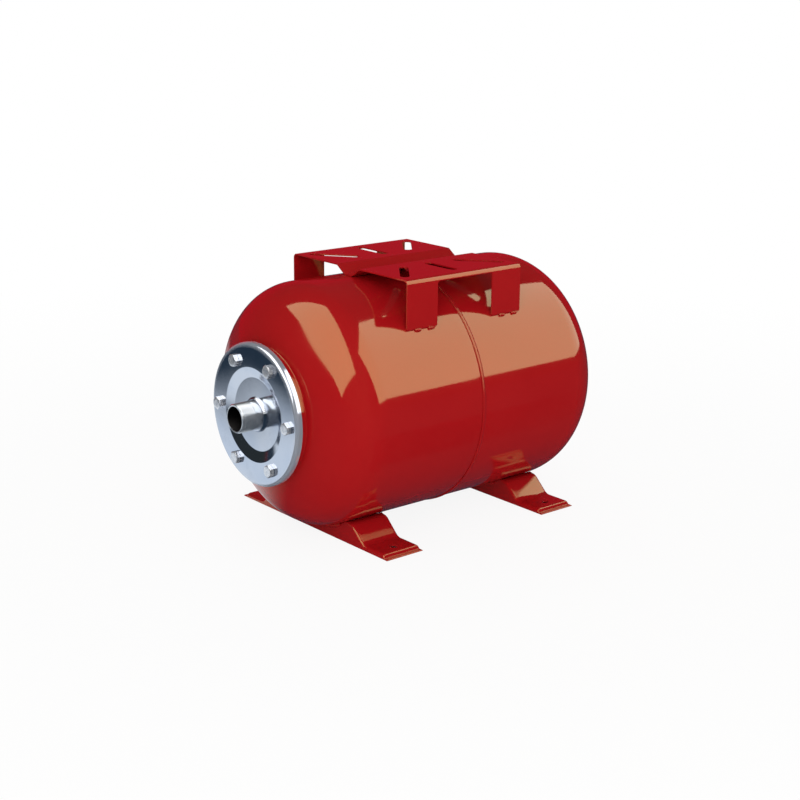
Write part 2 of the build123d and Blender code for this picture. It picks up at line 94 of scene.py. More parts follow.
class Net:
    # the nodes of one material or of the world
    def __init__(self, owner):
        owner.use_nodes = True
        self.tree = owner.node_tree
        self.tree.nodes.clear()

    def add(self, kind, settings=None, values=None, output=0):
        node = self.tree.nodes.new(kind)
        for name, setting in (settings or {}).items():
            setattr(node, name, setting)
        for name, value in (values or {}).items():
            socket = node.inputs[name]
            if isinstance(value, Wire):
                self.tree.links.new(value.socket, socket)
            elif isinstance(value, (tuple, list)) and socket.type == "RGBA":
                socket.default_value = (*value, 1)
            else:
                socket.default_value = value
        return Wire(self, node.outputs[output])

    def place(self):
        return self.add("ShaderNodeTexCoord", output="Object")

    def ray(self, kind):
        return self.add("ShaderNodeLightPath", None, None, kind)

    def noise(self, scale, detail=2.0, roughness=0.5, vector=None):
        values = {"Scale": scale, "Detail": detail, "Roughness": roughness}
        return self.add("ShaderNodeTexNoise", None, {**values, "Vector": vector or self.place()})

    def blend(self, share, first, second):
        return self.add("ShaderNodeMix", {"data_type": "RGBA"}, {0: share, 6: first, 7: second}, 2)

    def range(self, value, low, high, start=0.0, end=1.0, kind="LINEAR"):
        values = {"Value": value, "From Min": low, "From Max": high, "To Min": start, "To Max": end}
        return self.add("ShaderNodeMapRange", {"interpolation_type": kind}, values)

    def parts(self, vector, axis):
        return self.add("ShaderNodeSeparateXYZ", None, {0: vector}, axis)

    def stretch(self, vector, scale):
        return self.add("ShaderNodeMapping", None, {"Vector": vector, "Scale": scale})

    def bump(self, height, strength, distance, below=None):
        values = {"Height": height, "Strength": strength, "Distance": distance}
        if below:
            values["Normal"] = below
        return self.add("ShaderNodeBump", None, values)

    def fromAxis(self):
        # distance from the tank's axis, in metres
        point = self.place()
        across, up = self.parts(point, 1), self.parts(point, 2) - axisZ
        return (across * across + up * up) ** 0.5

    def end(self, shader, kind="ShaderNodeOutputMaterial"):
        self.tree.links.new(shader.socket, self.tree.nodes.new(kind).inputs["Surface"])


def finish(name, build):
    # build gets the net and gives a shader, or the values of the main shader's sockets
    material = bpy.data.materials.new(name)
    net = Net(material)
    shader = build(net)
    if not isinstance(shader, Wire):
        shader = net.add("ShaderNodeBsdfPrincipled", None, shader, "BSDF")
    net.end(shader)
    return material


enamel = {
    "deep": (0.378, 0.0058, 0.0088),
    "bright": (0.396, 0.0068, 0.0098),
    "sheen": (0.93, 0.95, 0.44),
    "peelSize": 330,
    "peelDepth": 0.00002,
}


def redEnamel(net):
    clouds = net.noise(11, 4, 0.6)
    peel = net.noise(enamel["peelSize"], 1.5, 0.4)
    dust = net.noise(1500, 1)
    return {
        "Base Color": net.blend(net.range(clouds, 0.3, 0.7), enamel["deep"], enamel["bright"]),
        "Roughness": net.range(clouds, 0.3, 0.7, 0.05, 0.085) + net.range(dust, 0.62, 0.75, 0, 0.05),
        "Specular IOR Level": 1.0,
        "Specular Tint": enamel["sheen"],
        "Normal": net.bump(peel, 0.35, enamel["peelDepth"]),
    }


zinc = {
    "cool": (0.60, 0.655, 0.76),
    "pale": (0.70, 0.73, 0.80),
    "cloud": (0.47, 0.51, 0.60),
    "rim": (6, 2),  # inside the flange's edge: from here on it was handled, so it is milky
    "rimMilk": 0.35,
    "disc": (0.016, 0.041),  # radii between which the middle is pressed a little hollow
    "hollow": 0.0008,
    "threadBright": (0.74, 0.77, 0.80),
    "threadDull": (0.58, 0.62, 0.68),
    # the colour inside the bore: painted shade
    "boreShade": (0.022, 0.021, 0.021),
    "boreEdge": (0.0138, 0.0143),  # radii between which the painted shade of the bore ends
}


def zincPlate(net):
    # pressed and plated: faint turning marks round the axis, cloudy passivation
    radius = net.fromAxis()
    rings = {"W": radius, "Scale": 2600, "Detail": 2.0}
    rings = net.add("ShaderNodeTexNoise", {"noise_dimensions": "1D"}, rings)
    clouds = net.noise(45, 3, 0.55)
    tint = net.noise(17, 2, 0.5)
    edge = net.range(radius, *((flangeR - inset) * mm for inset in zinc["rim"]))
    dents = net.bump(net.noise(160, 2), 0.10, 0.0002)
    dish = net.bump(net.range(radius, *zinc["disc"], 0, zinc["hollow"]), 1.0, 1.0, dents)
    colour = net.blend(net.range(tint, 0.35, 0.65), zinc["cool"], zinc["pale"])
    return {
        "Base Color": net.blend(net.range(clouds, 0.55, 0.8, 0, 0.35), colour, zinc["cloud"]),
        "Metallic": 1.0 - edge * zinc["rimMilk"],
        "Roughness": net.range(clouds, 0.3, 0.7, 0.07, 0.12) + net.range(rings, 0.3, 0.7, 0, 0.03),
        "Normal": net.bump(rings, 0.10, 0.00002, dish),
    }


def zincThread(net):
    # the bore is painted dark, rough and less metallic: a painted shade, as little light reaches inside
    clouds = net.noise(120, 3, 0.6)
    fine = net.noise(1400, 2, 0.6)
    outside = net.range(net.fromAxis(), *zinc["boreEdge"])
    plate = net.blend(net.range(clouds, 0.35, 0.75), zinc["threadBright"], zinc["threadDull"])
    return {
        "Base Color": net.blend(outside, zinc["boreShade"], plate),
        "Metallic": net.range(outside, 0, 1, 1.0, 0.85),
        "Roughness": net.range(clouds, 0.3, 0.7, 0.14, 0.22) + net.range(outside, 0, 1, 0.4, 0),
        "Normal": net.bump(fine, 0.12, 0.00003),
    }


def mottled(clouds, spread, colours, roughness, grain, bump, metal=0.0, more=None):
    # two colours in clouds under a fine grain; grain may be (scale, detail, roughness, stretch)
    def build(net):
        cloud = net.noise(*clouds)
        stretched = net.stretch(net.place(), grain[3]) if len(grain) > 3 else None
        return {
            "Base Color": net.blend(net.range(cloud, *spread), *colours),
            "Metallic": net.range(cloud, *spread, *metal) if isinstance(metal, tuple) else metal,
            "Roughness": net.range(cloud, 0.3, 0.7, *roughness),
            "Normal": net.bump(net.noise(*grain[:3], stretched), *bump),
            **(more or {}),
        }
    return build


plainFinishes = {
    "weldEnamel": {  # the same paint, a little thicker and duller over rough metal
        "clouds": (900, 3, 0.6),
        "spread": (0.3, 0.7),
        "colours": ((0.33, 0.006, 0.009), (0.40, 0.008, 0.011)),
        "roughness": (0.07, 0.13),
        "grain": (900, 3, 0.6),
        "bump": (0.2, 0.00006),
        "more": {"Specular IOR Level": 0.9, "Specular Tint": enamel["sheen"]},
    },
    "boltSteel": {
        "clouds": (260, 3, 0.6),
        "spread": (0.35, 0.7),
        "colours": ((0.80, 0.81, 0.84), (0.60, 0.63, 0.69)),
        "roughness": (0.14, 0.26),
        "grain": (1800, 2, 0.5),
        "bump": (0.15, 0.00004),
        "metal": (0.65, 0.88),  # a milky passivation over the zinc
    },
    "nutSteel": {
        "clouds": (420, 3, 0.6),
        "spread": (0.35, 0.7),
        "colours": ((0.30, 0.30, 0.31), (0.17, 0.165, 0.165)),
        "roughness": (0.35, 0.55),
        "grain": (420, 3, 0.6),
        "bump": (0.2, 0.00008),
        "metal": 1.0,
    },
    "coverPlastic": {
        "clouds": (90, 3, 0.6),
        "spread": (0.35, 0.75),
        "colours": ((0.013, 0.013, 0.015), (0.026, 0.026, 0.029)),
        "roughness": (0.32, 0.46),
        "grain": (2400, 2, 0.5),
        "bump": (0.2, 0.00004),
    },
}
rubberLook = {
    "clouds": (24, 3, 0.6),
    "spread": (0.35, 0.7),
    "roughness": (0.52, 0.72),
    "grain": (1100, 2, 0.6),
    "bump": (0.25, 0.00006),
}
turnedLook = {
    "clouds": (300, 2, 0.5),
    "spread": (0.3, 0.7),
    "grain": (1.0, 2, 0.5, (5200, 160, 160)),
    "bump": (0.2, 0.00003),
    "metal": 1.0,
}


def plain(name):
    return finish(name, mottled(**plainFinishes[name]))


def rubber(name, dark, pale):
    return finish(name, mottled(colours=(dark, pale), **rubberLook))


def turnedMetal(name, pale, dark, low, high):
    return finish(name, mottled(colours=(pale, dark), roughness=(low, high), **turnedLook))


finishes = {
    "red_enamel": finish("redEnamel", redEnamel),
    "weld_enamel": plain("weldEnamel"),
    "zinc_steel": finish("zincPlate", zincPlate),
    "zinc_thread": finish("zincThread", zincThread),
    "bolt_steel": plain("boltSteel"),
    "nut_steel": plain("nutSteel"),
    "bladder_rubber": rubber("bladderRubber", (0.010, 0.010, 0.011), (0.022, 0.021, 0.021)),
    "seal_rubber": rubber("sealRubber", (0.012, 0.012, 0.013), (0.026, 0.025, 0.025)),
    "valve_brass": turnedMetal("valveBrass", (0.74, 0.52, 0.23), (0.56, 0.35, 0.13), 0.18, 0.3),
    "valve_steel": turnedMetal("valveSteel", (0.62, 0.63, 0.65), (0.46, 0.47, 0.49), 0.2, 0.32),
    "cover_plastic": plain("coverPlastic"),
}
print("finishes:", len(finishes))


def arc(centreX, centreY, radius, start, end, count):
    # points of an arc, angles in degrees, both ends included
    turns = [radians(start + (end - start) * i / count) for i in range(count + 1)]
    return [(centreX + radius * cos(t), centreY + radius * sin(t)) for t in turns]


def rows(start, end, radius, count):
    # points of a straight run at one radius, both ends included
    return [(start + (end - start) * row / count, radius) for row in range(count + 1)]


def rounded(corners, count=6, closed=False):
    # corners (x, y, radius) joined by straight runs and arcs
    line, total = [], len(corners)
    for index, (x, y, radius) in enumerate(corners):
        if not radius or (not closed and index in (0, total - 1)):
            line.append((x, y))
            continue
        here = Vector((x, y))
        back = Vector(corners[index - 1][:2]) - here
        ahead = Vector(corners[(index + 1) % total][:2]) - here
        opening = back.angle(ahead)
        reach = min(radius / tan(opening / 2), 0.499 * back.length, 0.499 * ahead.length)
        radius = reach * tan(opening / 2)
        start = here + back.normalized() * reach
        halfway = (back.normalized() + ahead.normalized()).normalized()
        middle = here + halfway * radius / sin(opening / 2)
        spoke = start - middle
        sweep = pi - opening
        side = 1 if back.x * ahead.y - back.y * ahead.x < 0 else -1
        for step in range(count + 1):
            turn = side * sweep * step / count
            line.append((
                middle.x + spoke.x * cos(turn) - spoke.y * sin(turn),
                middle.y + spoke.x * sin(turn) + spoke.y * cos(turn),
            ))
    return line


def onAxis(along, radius, turn, facing):
    # a point at this distance from the seam and from the axis, turn in radians from straight up
    out = radius * mm
    return Vector((seamX + facing * along * mm, out * sin(turn), axisZ + out * cos(turn)))


def facingAlong(direction):
    # turns local z to this direction
    return Vector(direction).to_track_quat("Z", "Y").to_matrix().to_4x4()


def linked(name, data):
    made = bpy.data.objects.new(name, data)
    bpy.context.scene.collection.objects.link(made)
    return made


def objectOf(name, build):
    # the object of a bmesh, with its faces turned outwards
    mesh = bpy.data.meshes.new(name)
    bmesh.ops.recalc_face_normals(build, faces=build.faces)
    build.to_mesh(mesh)
    build.free()
    return linked(name, mesh)


def modified(piece, kind, settings):
    # applies one modifier
    modifier = piece.modifiers.new(kind.title(), kind)
    for key, value in settings.items():
        setattr(modifier, key, value)
    bpy.context.view_layer.update()
    seen = piece.evaluated_get(bpy.context.evaluated_depsgraph_get())
    name = piece.data.name
    piece.data = bpy.data.meshes.new_from_object(seen)
    piece.data.name = name
    piece.modifiers.clear()


def painted(mesh, finishName):
    mesh.materials.clear()
    mesh.materials.append(finishes[finishName])


def standsFor(piece, node, body="tank"):
    # what the piece rides on and which CAD node it takes the place of
    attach(piece, body)
    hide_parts(node)


def smoothed(mesh, sharp=None):
    for face in mesh.polygons:
        face.use_smooth = True
    if sharp:
        mesh.set_sharp_from_angle(angle=radians(sharp))


def addPiece(name, build, slot, node, body="tank", finishName=None, sharp=35, bevel=None):
    # makes the object of a bmesh and says what it stands for
    piece = objectOf(name, build)
    if bevel:
        modified(piece, "BEVEL", bevel)
    smoothed(piece.data, sharp)
    painted(piece.data, finishName or slot)
    standsFor(piece, node, body)
    return piece


def skinRings(build, rings):
    # faces between neighbouring rings, and between the last and the first; a lone point closes an end
    around = max(len(ring) for ring in rings)
    for first, second in zip(rings, rings[1:] + rings[:1]):
        if len(first) == 1 and len(second) == 1:
            continue
        for index in range(around):
            ahead = (index + 1) % around
            if len(first) == 1:
                build.faces.new((first[0], second[index], second[ahead]))
            elif len(second) == 1:
                build.faces.new((first[index], second[0], first[ahead]))
            else:
                build.faces.new((first[index], second[index], second[ahead], first[ahead]))
    return build


def turned(build, outline, around, spot):
    # turns a closed half section into rings; spot gives the point of (along, radius, turn)
    rings = []
    for along, radius in outline:
        if radius < tiny:
            rings.append([build.verts.new(spot(along, 0, 0))])
            continue
        turns = (2 * pi * index / around for index in range(around))
        rings.append([build.verts.new(spot(along, radius, turn)) for turn in turns])
    return skinRings(build, rings)


def spin(outline, facing, around=256, ripple=None):
    # turns a half section about the tank's axis; ripple moves each point
    def spot(along, radius, turn):
        if ripple:
            along, radius = ripple(along, radius, turn)
        return onAxis(along, radius, turn, facing)
    return turned(bmesh.new(), outline, around, spot)


def rod(build, outline, place, around=48, shape=None):
    # turns a half section (height, radius) about the local z axis of place
    def spot(height, radius, turn):
        if shape:
            height, radius = shape(height, radius, turn)
        return place @ Vector((radius * mm * cos(turn), radius * mm * sin(turn), height * mm))
    return turned(build, outline, around, spot)


def threadRadius(outer, depth, pitch, start, end, runOut=0.8):
    # shape function of a rounded thread between two heights
    def shape(height, radius, turn):
        if abs(radius - outer) > tiny:
            return height, radius
        fromEnd = min(height - start, end - height)
        fade = min(1, max(0, fromEnd / pitch / runOut))
        wave = 0.5 - 0.5 * cos(2 * pi * (height / pitch - turn / (2 * pi)))
        return height, outer - depth * fade * wave
    return shape


def drilled(piece, radius, centres, axis, length, around=40):
    # cuts round holes, centres in metres, axis as a unit vector
    build = bmesh.new()
    for centre in centres:
        outline = [(-length, 0), (-length, radius), (length, radius), (length, 0)]
        rod(build, outline, Matrix.Translation(centre) @ facingAlong(axis), around)
    cutter = objectOf("cutter", build)
    modified(piece, "BOOLEAN", {"operation": "DIFFERENCE", "solver": "EXACT", "object": cutter})
    bpy.data.objects.remove(cutter)
    piece.data.set_sharp_from_angle(angle=radians(35))


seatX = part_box("front_shell")[0].x  # outer face of the flat seat
tank = {
    "sheet": 1.5,
    "frontStraight": 138.5,
    "rearStraight": 147.5,
    "crown": 227.0,
    "knuckle": 51.0,
    "lapLength": 8.0,
    "lapGap": 0.3,
    "joggle": (0.8, 2.4),
    "joggleBend": 1.2,
    "seamOpening": 0.6,
    "neck": 76.0,
    "neckFillet": 1.2,
    "seatCorner": 3.0,
    "opening": 55.0,
    "bossHole": 10.25,
    "rings": (12, 40, 80, 120),  # along the cylinder
    "steps": {"joggle": 4, "knuckle": 26, "frontCrown": 12, "rearCrown": 22, "neck": 8, "corner": 6},
}
neckReach = (seamX - seatX) / mm
coreSpan = tank["crown"] - tank["knuckle"]
domeTurn = asin((tankR - tank["knuckle"]) / coreSpan)
frontCentre = tank["frontStraight"] - coreSpan * cos(domeTurn)
rearCentre = tank["rearStraight"] - coreSpan * cos(domeTurn)


flare = asin((tank["neck"] + tank["neckFillet"]) / (tank["crown"] + tank["neckFillet"]))


def skinSide(depth, straight, crownCentre, last, steps):
    # the cylinder, the knuckle and the crown down to the turn called last
    turn, knuckle = degrees(domeTurn), tank["knuckle"]
    line = [(along, tankR - depth) for along in tank["rings"]]
    line += arc(straight, tankR - knuckle, knuckle - depth, 90, turn, tank["steps"]["knuckle"])
    return line + arc(crownCentre, 0, tank["crown"] - depth, turn, last, steps)[1:]


def frontSkin(depth):
    lap = tankR - tank["sheet"] - tank["lapGap"] - depth
    skin, corner, steps = tankR - depth, tank["seatCorner"], tank["steps"]
    flareTurn = degrees(flare)
    footX = frontCentre + (tank["crown"] + tank["neckFillet"]) * cos(flare)
    footR = tank["neck"] + tank["neckFillet"]
    joggleStart, joggleEnd = tank["joggle"]
    bend = tank["joggleBend"]
    joggle = [(-tank["lapLength"], lap, 0), (joggleStart, lap, bend), (joggleEnd, skin, bend)]
    line = rounded(joggle + [(tank["rings"][0], skin, 0)], steps["joggle"])
    line += skinSide(depth, tank["frontStraight"], frontCentre, flareTurn, steps["frontCrown"])[1:]
    line += arc(footX, footR, tank["neckFillet"] + depth, 180 + flareTurn, 270, steps["neck"])[1:]
    line += arc(neckReach - corner, tank["neck"] - corner, corner - depth, 90, 0, steps["corner"])
    return line + [(neckReach - depth, tank["opening"])]


def rearSkin(depth):
    hole = degrees(asin(tank["bossHole"] / (tank["crown"] - depth)))
    line = [(tank["seamOpening"], tankR - depth)]
    return line + skinSide(depth, tank["rearStraight"], rearCentre, hole, tank["steps"]["rearCrown"])


def addShell(name, node, skin, facing):
    return addPiece(name, spin(skin(0) + skin(tank["sheet"])[::-1], facing), "red_enamel", node)


frontShell = addShell("frontShell", "front_shell", frontSkin, toFront)
addShell("rearShell", "rear_shell", rearSkin, toRear)

girthBead = {
    "width": 5.0,
    "height": 1.2,
    "start": 0.05,  # height of its edges
    "crest": (0.05, 0.3),  # flat between the round front and the long slope to the rear
    "crestBend": 0.7,
    "square": 0.6,
    "root": [(-2.3, -0.1), (-0.8, -1.3), (0.3, -1.3), (0.3, -0.1)],  # inside the seam
    "ripples": 620,
    "rippleDepth": 0.05,
    "lean": 0.35,
    "wander": 0.15,
    "swell": 0.06,
    "sink": 0.06,
    "steps": 10,
}


def girthRipple(along, radius, turn):
    lift = max(0.0, (radius - tankR) / girthBead["height"])
    wander = girthBead["wander"] * noise.noise(Vector((3 * cos(turn), 3 * sin(turn), 1.7)))
    wave = cos(girthBead["ripples"] * turn + girthBead["lean"] * along * along)
    swell = girthBead["swell"] * noise.noise(Vector((11 * cos(turn), 11 * sin(turn), 5.1)))
    rise = girthBead["rippleDepth"] * wave + swell - girthBead["sink"]
    return along + wander * lift, radius + lift * rise


half = girthBead["width"] / 2
edge, crest = tankR + girthBead["start"], tankR + girthBead["height"]
flatFront, flatRear = girthBead["crest"]
bend = girthBead["crestBend"]
beadLine = rounded([(half, edge, 0), (flatRear, crest, bend), (flatFront, crest, 0)], 8)
for step in range(girthBead["steps"] + 1):
    turn = pi / 2 * step / girthBead["steps"]
    along, lift = sin(turn) ** girthBead["square"], cos(turn) ** girthBead["square"]
    beadLine.append((-half * along, edge + (crest - edge) * lift))
beadLine += [(x, tankR + drop) for x, drop in girthBead["root"]]
addPiece(
    "girthWeld", spin(beadLine, toRear, 4 * girthBead["ripples"], girthRipple),
    "red_enamel", "girth_weld", finishName="weld_enamel", sharp=60)
print("tank: shells and girth weld")


flange = {
    "sheet": 2.5,
    "rimBend": 7.9,
    "rimLength": 8.0,
    "recessOuter": 53.4,
    "recessInner": 41.9,
    "recessDepth": 4.7,
    "recessBend": 4.0,
    "bore": 16.1,
    "bolts": 6,
    "boltCircle": 65.0,
    "boltHole": 4.5,
    "around": 192,
}
flangeFace = (seamX - flangeLow.x) / mm
discFace = flangeFace - flange["recessDepth"]


def offsetLine(line, depth):
    # the other face of a sheet that follows the line, to the left of it
    moved = []
    for index, point in enumerate(line):
        before = Vector(line[max(index - 1, 0)])
        after = Vector(line[min(index + 1, len(line) - 1)])
        along = (after - before).normalized()
        moved.append((point[0] - along.y * depth, point[1] + along.x * depth))
    return moved


flangeLine = rounded([
    (discFace, flange["bore"], 0),
    (discFace, flange["recessInner"], flange["recessBend"]),
    (flangeFace, flange["recessOuter"], flange["recessBend"]),
    (flangeFace, flangeR, flange["rimBend"]),
    (flangeFace - flange["rimLength"], flangeR, 0),
], 14)
flangeBack = offsetLine(flangeLine, flange["sheet"])
flangeBack[0] = (discFace - flange["sheet"], flange["bore"])
flangeBack[-1] = (flangeFace - flange["rimLength"], flangeR - flange["sheet"])
build = spin(flangeLine + flangeBack[::-1], toFront, flange["around"])
pressedFlange = addPiece("pressedFlange", build, "zinc_steel", "counterflange")
boltTurns = [pi / 2 + 2 * pi * i / flange["bolts"] for i in range(flange["bolts"])]
drill = {"flangeIn": 3, "seatIn": 9, "reach": 6}  # behind the flange's face
for piece, depth in ((pressedFlange, drill["flangeIn"]), (frontShell, drill["seatIn"])):
    centres = [onAxis(flangeFace - depth, flange["boltCircle"], turn, toFront) for turn in boltTurns]
    drilled(piece, flange["boltHole"], centres, (1, 0, 0), drill["reach"])

nippleLow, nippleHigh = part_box("water_nipple")
nipple = {
    "outer": 16.62,
    "bore": 13.5,
    "tail": 16.0,
    "collarFace": 3.2,
    "chamfer": 1.2,
    "threadLength": 17.0,
    "threadDepth": 1.25,
    "pitch": 2.309,
    "rows": 16,  # to each turn of the thread
    "edge": 0.3,
    "mouth": 0.5,
}
nippleEnd = (seamX - nippleLow.x) / mm
nippleStart = (seamX - nippleHigh.x) / mm
collarFace = discFace + nipple["collarFace"]
threadStart = nippleEnd - nipple["threadLength"]
edge, mouth, outer = nipple["edge"], nipple["mouth"], nipple["outer"]
nippleLine = [(nippleStart, nipple["bore"]), (nippleStart, nipple["tail"])]
nippleLine += [(collarFace, nipple["tail"])]
nippleLine += [(collarFace + edge / 2, outer - edge / 2), (collarFace + edge, outer)]
threadRows = int(nipple["threadLength"] / nipple["pitch"] * nipple["rows"])
nippleLine += rows(threadStart, nippleEnd - nipple["chamfer"], outer, threadRows)
nippleLine += [(nippleEnd, outer - nipple["chamfer"]), (nippleEnd, nipple["bore"] + mouth)]
nippleLine += [(nippleEnd - mouth, nipple["bore"])]
thread = threadRadius(outer, nipple["threadDepth"], nipple["pitch"], threadStart, nippleEnd + 2)
addPiece("waterNipple", spin(nippleLine, toFront, 144, thread), "zinc_thread", "water_nipple", sharp=50)

collar = {
    "bore": 16.1,
    "outer": 19.9,
    "seat": 0.02,
    "upright": 1.0,
    "slope": 2.0,
    "bends": (0.5, 0.9),
    "ripples": 60,
    "rippleDepth": 0.10,
    "lean": 0.8,
    "sink": 0.12,
    "swell": 0.1,
}
collarLine = rounded([
    (discFace + collar["seat"], collar["bore"], 0),
    (discFace + collar["seat"], collar["outer"], 0),
    (discFace + collar["upright"], collar["outer"], collar["bends"][0]),
    (collarFace, collar["outer"] - collar["slope"], collar["bends"][1]),
    (collarFace, collar["bore"], 0),
], 6)


def collarRipple(along, radius, turn):
    rise = min(1.0, max(0.0, (radius - collar["bore"]) / (collar["outer"] - collar["bore"])))
    wave = cos(collar["ripples"] * turn + collar["lean"] * along)
    wave = collar["rippleDepth"] * wave - collar["sink"]
    swell = collar["swell"] * rise * noise.noise(Vector((4 * cos(turn), 4 * sin(turn), along * 0.4)))
    return along, radius + wave * rise + swell


addPiece(
    "nippleCollar", spin(collarLine, toFront, 8 * collar["ripples"], collarRipple),
    "zinc_steel", "nipple_collar", sharp=60)

bolt = {
    "flats": 13.0,
    "head": 5.3,
    "radius": 4.0,
    "length": 20.0,
    "pitch": 1.25,
    "threadDepth": 0.6,
    "turns": (12, 41, 3, 55, 22, 34),  # degrees, how each head happens to stand
    "seat": 0.02,
    "plain": 4.0,  # shank without thread, under the head
    "tip": (0.8, 0.7),  # length and depth of the chamfer
    "rows": 120,
    "around": 72,
    "crown": (0.95, 0.92, 0.5, 0),  # shares of half the flats
    "softEdge": 0.05,
}


def hexagon(flats, head, top=0.95):
    # shape function of a hexagon whose corners are taken off by a 30 degree cone
    def shape(height, radius, turn):
        part = (degrees(turn) + 30) % 60 - 30
        reach = flats / 2 / cos(radians(part))
        edge = head - (reach - top * flats / 2) * tan(radians(30))
        levels = {
            "foot": (0.0, reach - 0.25), "base": (0.25, reach),
            "side": (edge - 0.12, reach), "shoulder": (edge, reach - 0.14),
        }
        return levels.get(height, (height, radius))
    return shape


hexagonLevels = [("foot", 1), ("base", 1), ("side", 1), ("shoulder", 1)]
boltThread = threadRadius(
    bolt["radius"], bolt["threadDepth"], bolt["pitch"], -bolt["length"] - 1, -bolt["plain"])
boltHead = hexagon(bolt["flats"], bolt["head"])
tipLength, tipDepth = bolt["tip"]
boltLine = [(-bolt["length"], 0), (-bolt["length"], bolt["radius"] - tipDepth)]
boltLine += rows(tipLength - bolt["length"], -0.1, bolt["radius"], bolt["rows"])
boltLine += [(0, bolt["radius"])] + hexagonLevels
boltLine += [(bolt["head"], bolt["flats"] / 2 * share) for share in bolt["crown"]]
boltLine[-4] = (bolt["head"] - bolt["softEdge"], boltLine[-4][1])


def boltShape(height, radius, turn):
    if isinstance(height, str) or height > 0:
        return boltHead(height, radius, turn)
    return boltThread(height, radius, turn) if height < -bolt["plain"] else (height, radius)


build = bmesh.new()
for turn, stand in zip(boltTurns, bolt["turns"]):
    centre = onAxis(flangeFace + bolt["seat"], flange["boltCircle"], turn, toFront)
    place = Matrix.Translation(centre) @ facingAlong((-1, 0, 0))
    rod(build, boltLine, place @ Matrix.Rotation(radians(stand), 4, "Z"), bolt["around"], boltShape)
addPiece("flangeBolts", build, "bolt_steel", "flange_bolts", sharp=28)
print("flange, nipple and bolts")


plateLow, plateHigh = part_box("pump_platform")
platform = {
    "sheet": 1.5,
    "bend": 5.5,
    "lip": 5.6,
    "leg": 44.0,
    "legCorner": 3.0,
    "legFoot": 1.5,
    "channelTop": 20.0,
    "channelFloor": 6.5,
    "channelRise": 9.25,
    "channelBend": 5.0,
    "slotWidth": 10.5,
    "slotLength": 52.0,
    "slotSpread": 123.0,
    "diagonalLength": 60.0,
    "diagonal": (55.5, 63.5),
    "diagonalAngle": 51.5,
    "window": (12.0, 18.0),
    "windowCorner": 1.5,
    "edge": 0.35,
    "steps": {"bend": 10, "corner": 6, "slot": 14, "window": 4},
}
plateTop = plateHigh.z / mm
plateHalf = plateHigh.y / mm
plateLength = (plateHigh.x - plateLow.x) / mm
legBottom = plateLow.z / mm


def bentLine():
    # top face of the section, from the middle to the leg's end: (across, up, distance along the sheet)
    floorZ = plateTop - platform["channelRise"]
    points = rounded([
        (0, floorZ, 0),
        (platform["channelFloor"], floorZ, platform["channelBend"]),
        (platform["channelTop"], plateTop, platform["channelBend"]),
        (plateHalf, plateTop, platform["bend"]),
        (plateHalf, legBottom, 0),
    ], platform["steps"]["bend"])
    line, total = [(*points[0], 0.0)], 0.0
    for before, after in zip(points, points[1:]):
        total += hypot(after[0] - before[0], after[1] - before[1])
        line.append((*after, total))
    return line


def inwardNormals(line):
    # square to the sheet at each point of the section; a straight run keeps its own up to a bend
    runs = [Vector((b[0] - a[0], b[1] - a[1])) for a, b in zip(line, line[1:])]
    normals = []
    for index in range(len(line)):
        before, after = runs[max(index - 1, 0)], runs[min(index, len(runs) - 1)]
        along = before.normalized() + after.normalized()
        if before.length > 2 * after.length:
            along = before
        elif after.length > 2 * before.length:
            along = after
        normals.append(Vector((along.y, -along.x)).normalized())
    return normals


section = bentLine()
sectionNormals = inwardNormals(section)
sheetLength = section[-1][2]


def normalOn(index, share):
    # square to the sheet, part of the way along the run that ends at this point of the section
    return (sectionNormals[index - 1] * (1 - share) + sectionNormals[index] * share).normalized()


def alongAt(across):
    # distance along the sheet of a place on the flat top
    flat = [p for p in section if abs(p[1] - plateTop) < 1e-3]
    return flat[0][2] + across - flat[0][0]


def bendPoint(x, s, depth):
    # the flat sheet's point (x, s) on the bent one, that deep below the outer face
    side, s = (-1 if s < 0 else 1), min(abs(s), sheetLength)
    index = next(i for i in range(1, len(section)) if section[i][2] >= s - 1e-9)
    first, second = section[index - 1], section[index]
    share = (s - first[2]) / (second[2] - first[2])
    normal = normalOn(index, share)
    y = first[0] + (second[0] - first[0]) * share + normal.x * depth
    z = first[1] + (second[1] - first[1]) * share + normal.y * depth
    return Vector((seamX + x * mm, side * y * mm, z * mm))


def slotOutline(length, width, centreX, centreS, angle):
    half, radius = (length - width) / 2, width / 2
    steps = platform["steps"]["slot"]
    points = arc(half, 0, radius, -90, 90, steps) + arc(-half, 0, radius, 90, 270, steps)
    c, s = cos(radians(angle)), sin(radians(angle))
    return [(centreX + x * c - y * s, centreS + x * s + y * c) for x, y in points]


def platformOutlines():
    # the flat sheet's outline, then its holes
    halfX, gap = plateLength / 2, plateLength / 2 - platform["leg"]
    lipS = sheetLength - (plateTop - platform["lip"] - legBottom)
    corner, foot = platform["legCorner"], platform["legFoot"]
    right = [(-halfX, sheetLength, foot), (-gap, sheetLength, foot), (-gap, lipS, corner)]
    right += [(-x, s, radius) for x, s, radius in right[::-1]]
    outline = right + [(x, -s, radius) for x, s, radius in right[::-1]]
    shapes = [rounded(outline, platform["steps"]["corner"], closed=True)]
    crossS, width = alongAt(platform["slotSpread"] / 2), platform["slotWidth"]
    x, y = platform["diagonal"]
    for side in (-1, 1):
        shapes.append(slotOutline(platform["slotLength"], width, 0, side * crossS, 90))
        for end in (-1, 1):
            angle = end * side * platform["diagonalAngle"]
            middle = end * x, side * alongAt(y)
            shapes.append(slotOutline(platform["diagonalLength"], width, *middle, angle))
    w, h = (size / 2 for size in platform["window"])
    corners = [(x, s, platform["windowCorner"]) for x, s in ((-w, -h), (w, -h), (w, h), (-w, h))]
    return shapes + [rounded(corners, platform["steps"]["window"], closed=True)]


def inside(point, outline):
    x, y = point
    odd = False
    for (x1, y1), (x2, y2) in zip(outline, outline[1:] + outline[:1]):
        if (y1 > y) != (y2 > y) and x < (x2 - x1) * (y - y1) / (y2 - y1) + x1:
            odd = not odd
    return odd


